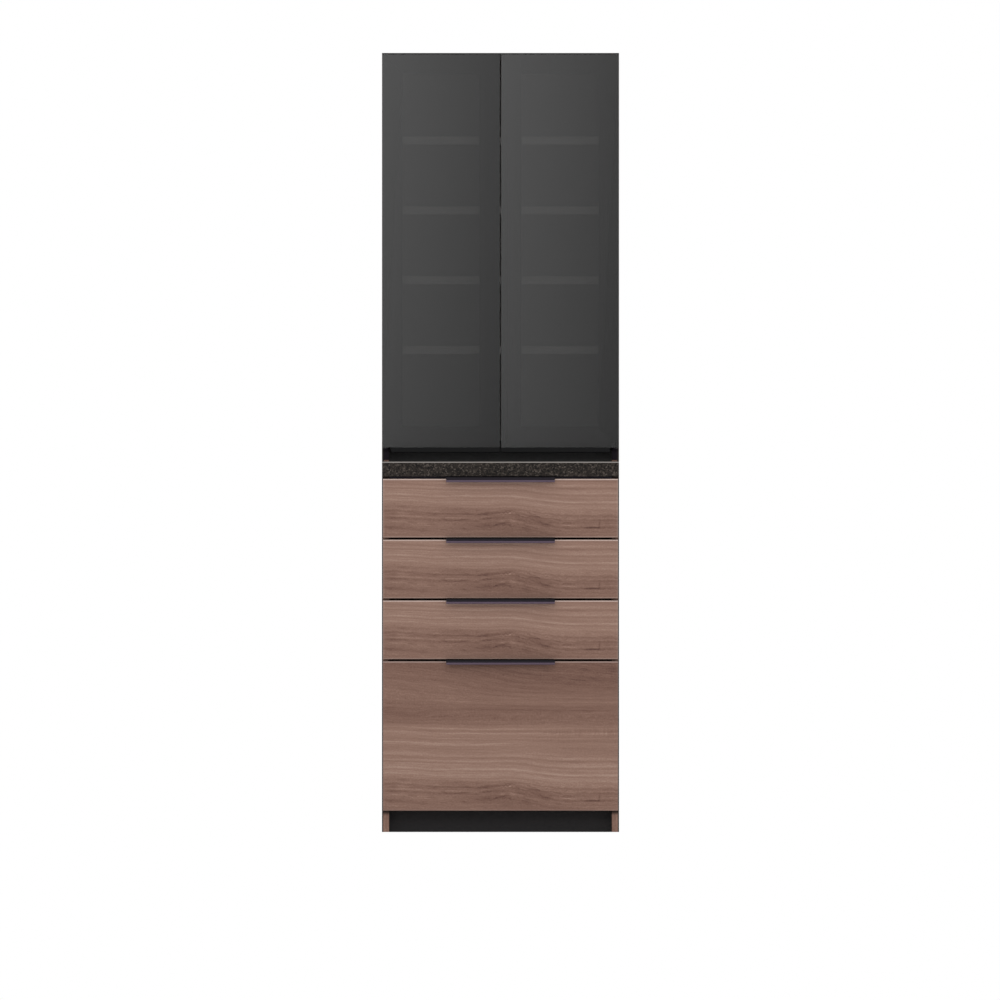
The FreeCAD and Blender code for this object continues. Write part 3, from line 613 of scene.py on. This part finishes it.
# %% Speckled countertop
COUNTER_ARRIS = 3.0
CHIP_SIZE = 3.2
CHIP_SHADES = [(0.08, rgb(5, 3, 2)), (0.3, rgb(29, 24, 21)), (0.55, rgb(41, 35, 31)),
               (0.78, rgb(54, 48, 43)), (0.97, rgb(90, 82, 76))]
# painted highlight colour of the front arris
COUNTER_ARRIS_HIGHLIGHT = rgb(150, 145, 141)
counter_low, counter_high = box_mm("countertop")

counter_finish, point = new_finish("speckled_laminate")
x, y, z = millimetres(point)
chip = point.node("TexVoronoi", sockets={"Vector": point, "Scale": 1000.0 / CHIP_SIZE}, output="Color")
number = chip.node("SeparateColor", sockets={0: chip}) * 0.85 + grains(point, 9.0) * 0.3 - 0.08
ground = number.node("ValToRGB", {"stops": CHIP_SHADES}, {0: number})
# painted highlight along the top front arris
high_part = smooth(z, counter_high.z - COUNTER_ARRIS - 0.4, counter_high.z - COUNTER_ARRIS)
high_part = high_part * within(z, counter_high.z - GLUE_LINE)
face_part = within(y, counter_low.y + COUNTER_ARRIS - 0.3)
set_look(counter_finish, {"Base Color": blend(high_part * face_part, ground, COUNTER_ARRIS_HIGHLIGHT),
                          "Roughness": 0.40 + grains(point, 1.2) * 0.12, "Specular IOR Level": 0.12,
                          "Normal": bump(grains(point, 0.9), 0.08, 0.0002)})
dress(counter_finish, "countertop")
print("countertop", [round(v, 1) for v in counter_high - counter_low], "mm")

# %% [markdown]
# Smoked glass: each of the two faces of a pane is partly clear, and both together let about a seventh of the
# light through, so the pale shelves behind show only as a faint shape. The dark colour lies mostly on the
# front face. A painted reflection makes each pane a little lighter towards its upper left, so each door has
# its own material that measures from its own pane. The pane is smooth, and mirrors the room more at a slant.

# %% Smoked glass doors
# painted reflection: how light each corner of a pane is
REFLECTION_CORNERS = {"lower_left": 0.079, "lower_right": 0.043, "upper_left": 0.122, "upper_right": 0.069}
FACE_OPACITY = 0.62
BACK_TINT = 0.12


def smoked_glass(name, low, high):
    material, point = new_finish(name)
    x, y, z = millimetres(point)
    rightward = (x - low.x) / (high.x - low.x)
    upward = (z - low.z) / (high.z - low.z)
    # painted reflection, lighter towards the upper left of the pane
    lower = blend(rightward, grey(REFLECTION_CORNERS["lower_left"]), grey(REFLECTION_CORNERS["lower_right"]))
    upper = blend(rightward, grey(REFLECTION_CORNERS["upper_left"]), grey(REFLECTION_CORNERS["upper_right"]))
    front_face = smooth(y, low.y + 1.0, low.y + 0.5) * (1.0 - BACK_TINT) + BACK_TINT
    film = grains(point, 60.0) * 0.02
    tint_and_reflection = blend(front_face, grey(0.0), blend(upward, lower, upper))
    return set_look(material, {"Base Color": tint_and_reflection, "Roughness": 0.05 + film,
                               "Alpha": FACE_OPACITY, "Specular IOR Level": 0.2, "IOR": 1.5})


SIDES = ("left", "right")
for side in SIDES:
    pane = side + "_door_glass"
    dress(smoked_glass("smoked_glass_" + side, *box_mm(pane)), pane)
print("smoked panes:", len(SIDES))

# %% [markdown]
# The pulls are bent aluminium, anodised nearly black with a violet cast. Brushing runs along their length,
# so the noise is drawn out along X. The lip at the bottom has a painted highlight, where it faces up, while
# the bend over it has painted shade on the lower pulls, where it lies under the drawer above. The strips
# under the doors are the same metal in a neutral black, without such a lip.

# %% Dark anodised pulls
LIP_HEIGHT = 5.1
# painted highlight colours of the lip
LIP_HIGHLIGHTS = (rgb(91, 77, 92), rgb(107, 92, 106))
BEND_HEIGHT = 2.2
BEND_REACH = 5.0
# painted shade colour of the bend
BEND_SHADE_COLOUR = rgb(4, 2, 4)
BEND_SHADES = {1: 0.0, 2: 1.0, 3: 0.8, 4: 1.0}
PULL_SHADES = (rgb(24, 20, 26), rgb(34, 29, 36))
STRIP_SHADES = (rgb(6, 6, 7), rgb(10, 10, 11))


def dark_anodised(name, shades, pull_box=None, bend_shade=0.0):
    """Brushed metal; a pull has a painted highlight on its lip, and can have painted shade on the bend along
    its top.
    """
    material, point = new_finish(name)
    x, y, z = millimetres(point)
    brushing = streaks(x, y + z * 1.7, 60.0, 0.35, 53.0, 2.0) + 0.5
    colour = blend(brushing, *shades)
    if pull_box:
        low, high = pull_box
        # painted shade on the bend, which lies in the gap under the drawer above
        bend = smooth(z, high.z - BEND_HEIGHT - 0.3, high.z - BEND_HEIGHT)
        bend = bend * within(y, low.y + BEND_REACH, 1.0) * bend_shade
        # painted highlight on the lip, which faces up
        lip = smooth(z, low.z + LIP_HEIGHT + 0.4, low.z + LIP_HEIGHT - 0.4)
        colour = blend(lip, blend(bend, colour, BEND_SHADE_COLOUR), blend(brushing, *LIP_HIGHLIGHTS))
    return set_look(material, {"Base Color": colour, "Metallic": 0.3,
                               "Roughness": 0.38 + brushing * 0.16, "Specular IOR Level": 0.15,
                               "Normal": bump(brushing, 0.1, 0.0001)})


for number in DRAWERS:
    pull = "drawer_%d_pull" % number
    dress(dark_anodised("dark_pull_%d" % number, PULL_SHADES, box_mm(pull), BEND_SHADES[number]), pull)
dress(dark_anodised("dark_strip", STRIP_SHADES), "left_door_pull_strip", "right_door_pull_strip")
print("dark pulls:", len(DRAWERS), "and 2 strips")

# %% [markdown]
# Matt black film covers the door frames, the toe board and the recessed rail. A fine leathery emboss keeps
# it from looking like a hole: the bump is far too small to see as shape, but it breaks up the reflections.
# The recessed rail is painted a lighter grey, to lift the deep shade it lies in.

# %% Black boards
def black_film(name, dark, pale):
    material, point = new_finish(name)
    emboss = grains(point, 1.1)
    return set_look(material, {"Base Color": blend(grains(point, 9.0), dark, pale),
                               "Roughness": 0.55 + emboss * 0.15, "Specular IOR Level": 0.22,
                               "Normal": bump(emboss, 0.15, 0.0002)})


black_boards = ["toe_kick_board"]
for side in SIDES:
    black_boards += [side + "_door_stiles", side + "_door_frame_rails"]
dress(black_film("black_film", rgb(29, 27, 28), rgb(37, 35, 36)), *black_boards)
# painted light: a lighter film that lifts the shade of the recess
dress(black_film("black_film_lifted_in_shade", rgb(60, 60, 60), rgb(70, 70, 70)), "upper_base_rail")
print("black boards:", len(black_boards) + 1)

# %% [markdown]
# Inside, the boards are faced with grey melamine: nearly even in colour, with a pearl emboss and a soft
# sheen. It is palest on the shelves, so that behind the glass their edges stand out. Some boards wear
# something else on one side: a dark band on an edge that lies right behind a gap, walnut film on top of the
# cupboard, and bare hardboard towards the wall. Such a cover is a share of another colour, worked out from
# the place on the board.

# %% Melamine
SHELF_GREYS = (rgb(206, 204, 200), rgb(220, 218, 214))
PALE_GREYS = (rgb(190, 188, 184), rgb(204, 202, 198))
BACK_GREYS = (rgb(170, 169, 166), rgb(182, 181, 178))
BAND_COLOUR = rgb(27, 25, 26)
# painted light: the rails' band is lighter and violet, to lift the deep shade in the gap under the
# countertop
LIFTED_RAIL_BAND_COLOUR = rgb(56, 51, 66)
HARDBOARD_BROWNS = (rgb(118, 90, 66), rgb(158, 128, 98))
SHELVES = ["shelf_%d" % number for number in range(1, 5)]


def melamine(name, greys, cover=None):
    material, point = new_finish(name)
    pearl = grains(point, 1.6)
    colour = blend(grains(point, 70.0) * 0.7 + pearl * 0.3, *greys)
    if cover:
        share, other = cover(point)
        colour = blend(share, colour, other)
    return set_look(material, {"Base Color": colour, "Roughness": 0.42 + pearl * 0.15,
                               "Specular IOR Level": 0.3, "Normal": bump(pearl, 0.12, 0.0002)})


def dark_band(edge_y, colour=BAND_COLOUR):
    """The front edge of a board."""
    def cover(point):
        y = millimetres(point)[1]
        return within(y, edge_y + EDGE_BAND), colour
    return cover


def walnut_cap(edge_y, top_z):
    """The top of the cupboard, and the banded edge in front of it."""
    def cover(point):
        x, y, z = millimetres(point)
        tone = BOARD_TONE + walnut_layers(x, y, 67.0)[0]
        brown = tone.node("ValToRGB", {"stops": WALNUT_TONES}, {0: tone})
        band = within(y, edge_y + EDGE_BAND)
        return band.larger(smooth(z, top_z - 0.5, top_z - 0.2)), blend(band, brown, BAND_COLOUR)
    return cover


def bare_hardboard(wall_y):
    """The wall side of a thin back, with pressed fibres."""
    def cover(point):
        y = millimetres(point)[1]
        fibres = grains(point, 2.2, 5.0) * 0.7 + grains(point, 45.0) * 0.3
        return smooth(y, wall_y - 0.8, wall_y - 0.5), blend(fibres, *HARDBOARD_BROWNS)
    return cover


pale_melamine = melamine("pale_melamine", PALE_GREYS)
back_melamine = melamine("back_melamine", BACK_GREYS)
for number in DRAWERS:
    dress(pale_melamine, "drawer_%d_box_walls" % number, "drawer_%d_bottom" % number)
dress(melamine("shelf_melamine", SHELF_GREYS), *SHELVES)
dress(melamine("banded_base_floor", PALE_GREYS, dark_band(base_edge)), "base_bottom_panel")
# the rails' band is painted lighter, to lift the shade in the gap
dress(melamine("banded_base_rails", PALE_GREYS, dark_band(base_edge, LIFTED_RAIL_BAND_COLOUR)), "base_top_rails")
dress(melamine("banded_upper_floor", PALE_GREYS, dark_band(upper_edge)), "upper_bottom_panel")
top_z = box_mm("upper_top_panel")[1].z
dress(melamine("walnut_topped_board", PALE_GREYS, walnut_cap(upper_edge, top_z)), "upper_top_panel")
for back in ("base_back_panel", "upper_back_panel"):
    dress(melamine(back + "_board", BACK_GREYS, bare_hardboard(box_mm(back)[1].y)), back)
dress(back_melamine, "upper_wall_rail")
print("melamine boards:", 2 * len(DRAWERS) + len(SHELVES) + 7)

# %% [markdown]
# The hardware: zinc-plated rails and pegs with the faint cloudy spangle of plating, black-coated pivot
# brackets, nylon bushes and catches, and beech dowels. Each is a metal, plastic or wood with its own grain
# and gloss.

# %% Hardware finishes
zinc, point = new_finish("zinc_plate")
x, y, z = millimetres(point)
spangle = grains(point, 6.0)
drawn = streaks(y, z + x, 80.0, 0.6, 61.0) + 0.5
set_look(zinc, {"Base Color": blend(spangle, rgb(176, 178, 182), rgb(200, 202, 205)), "Metallic": 0.9,
                "Roughness": 0.28 + drawn * 0.18, "Normal": bump(drawn, 0.05, 0.0001)})
rails = ["drawer_outer_rails", "shelf_pegs", "left_door_strike", "right_door_strike"]
for number in DRAWERS:
    rails += ["drawer_%d_inner_rails" % number, "drawer_%d_middle_rails" % number]
dress(zinc, *rails)

black_steel, point = new_finish("black_coated_steel")
orange_peel = grains(point, 1.4)
set_look(black_steel, {"Base Color": blend(orange_peel, rgb(21, 16, 23), rgb(29, 23, 31)),
                       "Roughness": 0.55 + orange_peel * 0.15, "Specular IOR Level": 0.08,
                       "Normal": bump(orange_peel, 0.1, 0.0002)})
dress(black_steel, "door_pivot_brackets", "pivot_screws")

nylon, point = new_finish("black_nylon")
matt = grains(point, 0.8)
set_look(nylon, {"Base Color": blend(matt, rgb(40, 40, 41), rgb(52, 52, 53)), "Roughness": 0.5 + matt * 0.1,
                 "Normal": bump(matt, 0.1, 0.0001)})
dress(nylon, "left_door_pivot_bushes", "right_door_pivot_bushes", "door_catches")

beech, point = new_finish("beech")
x, y, z = millimetres(point)
fibre = streaks(z, x + y, 20.0, 0.5, 71.0) + 0.5
set_look(beech, {"Base Color": blend(fibre, rgb(178, 140, 100), rgb(206, 170, 128)), "Roughness": 0.6})
dress(beech, "stacking_dowels")
print("hardware pieces:", len(rails) + 6)

# %% [markdown]
# Small fittings are turned: an outline of radius and height is spun round an axis. A screw head adds a
# cross recess, built as twelve corners let into the top of the head. Copies of one shape go into one
# object, which rides on the body that carries it. A place is a point in millimetres, and the way the head
# looks from there.

# %% Fitting helpers
TURNED_SIDES = 24


def turned(shape, place, outline):
    """Spin (radius, height) points about the Z axis of a place; returns the rings of vertices."""
    rings = []
    angles = [2 * math.pi * step / TURNED_SIDES for step in range(TURNED_SIDES)]
    for radius, height in outline:
        spots = [(radius * math.cos(angle), radius * math.sin(angle), height) for angle in angles]
        rings.append([shape.verts.new(place @ Vector(spot)) for spot in spots])
    for lower, upper in zip(rings, rings[1:]):
        for step in range(TURNED_SIDES):
            corners = [lower[step - 1], lower[step], upper[step], upper[step - 1]]
            shape.faces.new(corners)
    shape.faces.new(rings[0])
    return rings


def button(outline):
    """A turned fitting with a closed top."""
    def build(shape, place):
        shape.faces.new(turned(shape, place, outline)[-1])
    return build


def cross_screw(radius, proud, recess):
    """A low screw head with a cross recess."""
    outline = [(radius, 0.0), (radius, proud * 0.35), (radius * 0.93, proud * 0.8), (radius * 0.78, proud)]
    tip, half = radius * 0.52, radius * 0.13
    arm = ((tip, -half), (tip, half), (half, half))
    quarter_step = TURNED_SIDES // 4

    def build(shape, place):
        rim = turned(shape, place, outline)[-1]
        levels = []
        for level in (proud, proud - recess):
            corners = []
            for quarter in range(4):
                turn = place @ Matrix.Rotation(quarter * math.pi / 2, 4, "Z")
                corners += [turn @ Vector((x, y, level)) for x, y in arm]
            levels.append([shape.verts.new(corner) for corner in corners])
        upper, lower = levels
        for quarter in range(4):
            start = quarter * quarter_step
            first_tip, second_tip, inner = upper[3 * quarter:3 * quarter + 3]
            shape.faces.new([first_tip, rim[start - 1], rim[start], rim[start + 1], second_tip])
            arc = rim[start + 1:start + quarter_step]
            shape.faces.new([inner, second_tip] + arc + [upper[(3 * quarter + 3) % len(upper)]])
        for corner in range(len(upper)):
            shape.faces.new([upper[corner - 1], upper[corner], lower[corner], lower[corner - 1]])
        shape.faces.new(lower)
    return build


def fitting(name, build, places, body, finish):
    """One object of copies of a small shape, riding on a body."""
    shape = bmesh.new()
    for spot, facing in places:
        turn = Vector(facing).to_track_quat("Z", "Y").to_matrix().to_4x4()
        build(shape, Matrix.Translation(Vector(spot)) @ turn)
    bmesh.ops.recalc_face_normals(shape, faces=shape.faces)
    bmesh.ops.scale(shape, vec=Vector((0.001, 0.001, 0.001)), verts=shape.verts)
    mesh = bpy.data.meshes.new(name)
    shape.to_mesh(mesh)
    shape.free()
    mesh.shade_smooth()
    mesh.set_sharp_from_angle(angle=math.radians(35.0))
    mesh.materials.append(finish)
    piece = bpy.data.objects.new(name, mesh)
    scene.collection.objects.link(piece)
    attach(piece, body)


print("turned fittings have", TURNED_SIDES, "sides")

# %% [markdown]
# A drawer front is screwed to its box from inside, its pull sits on the top edge under three flat screws,
# and the inner rails are screwed to the box. Four soft buttons on the back of the front meet the cabinet
# when it closes. These show only with a drawer open.

# %% Drawer fittings
UP, DOWN = (0, 0, 1), (0, 0, -1)
BACKWARD, FORWARD = (0, 1, 0), (0, -1, 0)
BOTH_SIDES = (-1, 1)
RAIL_SHEET = 1.2
BOX_WALL = 12.0
PULL_SCREWS_X = (-110, 0, 110)
FRONT_SCREWS_X = (-180, 180)
FRONT_SCREW_RISE = 30
FRONT_SCREW_DROP = 22
RAIL_SCREW_INSET = 32
BUTTON_X = 290
BUTTON_INSET = 14
soft_button = button([(4.0, 0.0), (4.0, 0.7), (3.4, 1.35), (2.4, 1.65), (1.0, 1.75)])

for number in DRAWERS:
    name, body = "drawer_%d_" % number, "drawer_%d" % number
    front_low, front_high = box_mm(name + "front")
    pull_low, pull_high = box_mm(name + "pull")
    walls_low, walls_high = box_mm(name + "box_walls")
    rail_low, rail_high = box_mm(name + "inner_rails")
    seat_y = (front_low.y + pull_high.y) / 2
    fitting(name + "pull_screws", cross_screw(2.6, 0.7, 0.5),
            [((x, seat_y, pull_high.z), UP) for x in PULL_SCREWS_X], body, black_steel)
    inner_y = walls_low.y + BOX_WALL
    heights = (walls_low.z + FRONT_SCREW_RISE, walls_high.z - FRONT_SCREW_DROP)
    fitting(name + "front_screws", cross_screw(3.6, 1.2, 0.9),
            [((x, inner_y, z), BACKWARD) for x in FRONT_SCREWS_X for z in heights], body, zinc)
    rail_z = (rail_low.z + rail_high.z) / 2
    web_x = walls_high.x + RAIL_SHEET
    rail_middle = (rail_low.y + rail_high.y) / 2
    steps = (rail_low.y + RAIL_SCREW_INSET, rail_middle, rail_high.y - RAIL_SCREW_INSET)
    fitting(name + "rail_screws", cross_screw(3.0, 1.1, 0.8),
            [((sign * web_x, y, rail_z), (sign, 0, 0)) for sign in BOTH_SIDES for y in steps],
            body, zinc)
    fitting(name + "buttons", soft_button,
            [((sign * BUTTON_X, front_high.y, z), BACKWARD) for sign in BOTH_SIDES
             for z in (front_low.z + BUTTON_INSET, front_high.z - BUTTON_INSET)], body, nylon)
print("drawer fittings:", 4 * len(DRAWERS))

# %% [markdown]
# A door closes softly on buttons at its meeting stile, and its strike plate is screwed on. The strip under
# it hangs from three screws. Each magnetic catch is screwed up into the top panel from below.

# %% Door fittings
DOOR_BUTTON_X = 12
DOOR_BUTTON_RISE = 9
DOOR_BUTTON_DROP = 6
STRIKE_SCREWS = (-8, 8)
STRIP_SCREWS = (-105, 0, 105)
STRIP_SCREW_INSET = 6
STRIP_SHEET = 2
CATCH_SCREWS_X = (18, 36)
door_button = button([(4.0, 0.0), (4.0, 0.9), (3.4, 1.7), (2.4, 2.05), (1.0, 2.2)])

for side, sign in zip(SIDES, BOTH_SIDES):
    name, body = side + "_door_", side + "_door"
    stile_low, stile_high = box_mm(name + "stiles")
    strike_low, strike_high = box_mm(name + "strike")
    strip_low, strip_high = box_mm(name + "pull_strip")
    strike_x, strike_z = (strike_low.x + strike_high.x) / 2, (strike_low.z + strike_high.z) / 2
    heights = (stile_low.z + DOOR_BUTTON_RISE, stile_high.z - DOOR_BUTTON_DROP)
    fitting(name + "buttons", door_button,
            [((sign * DOOR_BUTTON_X, stile_high.y, z), BACKWARD) for z in heights], body, nylon)
    fitting(name + "strike_screws", cross_screw(2.2, 0.2, 0.15),
            [((strike_x + step, strike_high.y, strike_z), BACKWARD) for step in STRIKE_SCREWS],
            body, zinc)
    strip_x, strip_y = (strip_low.x + strip_high.x) / 2, strip_high.y - STRIP_SCREW_INSET
    fitting(name + "strip_screws", cross_screw(2.8, 0.9, 0.6),
            [((strip_x + step, strip_y, strip_high.z - STRIP_SHEET), DOWN) for step in STRIP_SCREWS],
            body, black_steel)
catch_low, catch_high = box_mm("door_catches")
catch_y = (catch_low.y + catch_high.y) / 2
fitting("catch_screws", cross_screw(2.4, 0.8, 0.6),
        [((sign * x, catch_y, catch_low.z), DOWN) for sign in BOTH_SIDES for x in CATCH_SCREWS_X],
        "cabinet", zinc)
print("door fittings:", 3 * len(SIDES) + 1)

# %% [markdown]
# The panels of the glazed unit are drawn together by hidden connectors, each under a round cover cap near
# the side, and two more caps close the holes for the wall screws. The thin backs lie in rebates and are
# nailed round their edges, which is what the wall side of such a unit shows.

# %% Cover caps and back nails
CAP = button([(7.0, 0.0), (7.0, 0.5), (6.6, 0.85), (5.6, 1.0), (5.2, 0.8), (1.0, 0.8)])
NAIL = button([(2.3, 0.0), (2.3, 0.15), (1.9, 0.32), (1.1, 0.4)])
CAP_INSET = 34
CAP_FRONT_INSET = 45
CAP_REAR_INSET = 60
NAIL_INSET = 4.0
NAIL_SPACING = 140.0
NAIL_END = 30
NAIL_ROW = 210

floor_panel = box_mm("upper_bottom_panel")
top_panel = box_mm("upper_top_panel")
cap_x = floor_panel[1].x - CAP_INSET
cap_rows = (floor_panel[0].y + CAP_FRONT_INSET, floor_panel[1].y - CAP_REAR_INSET)
caps = [((sign * cap_x, y, floor_panel[1].z), UP) for sign in BOTH_SIDES for y in cap_rows]
caps += [((sign * cap_x, y, top_panel[0].z), DOWN) for sign in BOTH_SIDES for y in cap_rows]
wall_rail = box_mm("upper_wall_rail")
wall_fixing = [mount for mount in frame["record"]["mounts"] if mount["name"] == "wall_fixing"][0]
hole_x, hole_z = wall_fixing["dims"]["spacing_x_mm"] / 2, 1000 * wall_fixing["pos_m"][2]
hole_caps = [((sign * hole_x, wall_rail[0].y, hole_z), FORWARD) for sign in BOTH_SIDES]
fitting("cover_caps", CAP, caps, "cabinet", pale_melamine)
fitting("wall_hole_caps", CAP, hole_caps, "cabinet", back_melamine)


def evenly(low, high):
    """Places from low to high, about one nail spacing apart."""
    count = round((high - low) / NAIL_SPACING)
    return [low + (high - low) * step / count for step in range(count + 1)]


nails = []
for back, carriers in (("upper_back_panel", ("upper_bottom_panel", "upper_top_panel")),
                       ("base_back_panel", ("base_bottom_panel", "base_top_rails"))):
    low, high = box_mm(back)
    edge_x = high.x - NAIL_INSET
    heights = evenly(low.z + NAIL_END, high.z - NAIL_END)
    nails += [((sign * edge_x, high.y, z), BACKWARD) for sign in BOTH_SIDES for z in heights]
    for carrier in carriers:
        middle = sum(corner.z for corner in box_mm(carrier)) / 2
        nails += [((x, high.y, middle), BACKWARD) for x in evenly(-NAIL_ROW, NAIL_ROW)]
fitting("back_nails", NAIL, nails, "cabinet", zinc)
print("caps:", len(caps) + len(hole_caps), "nails:", len(nails))
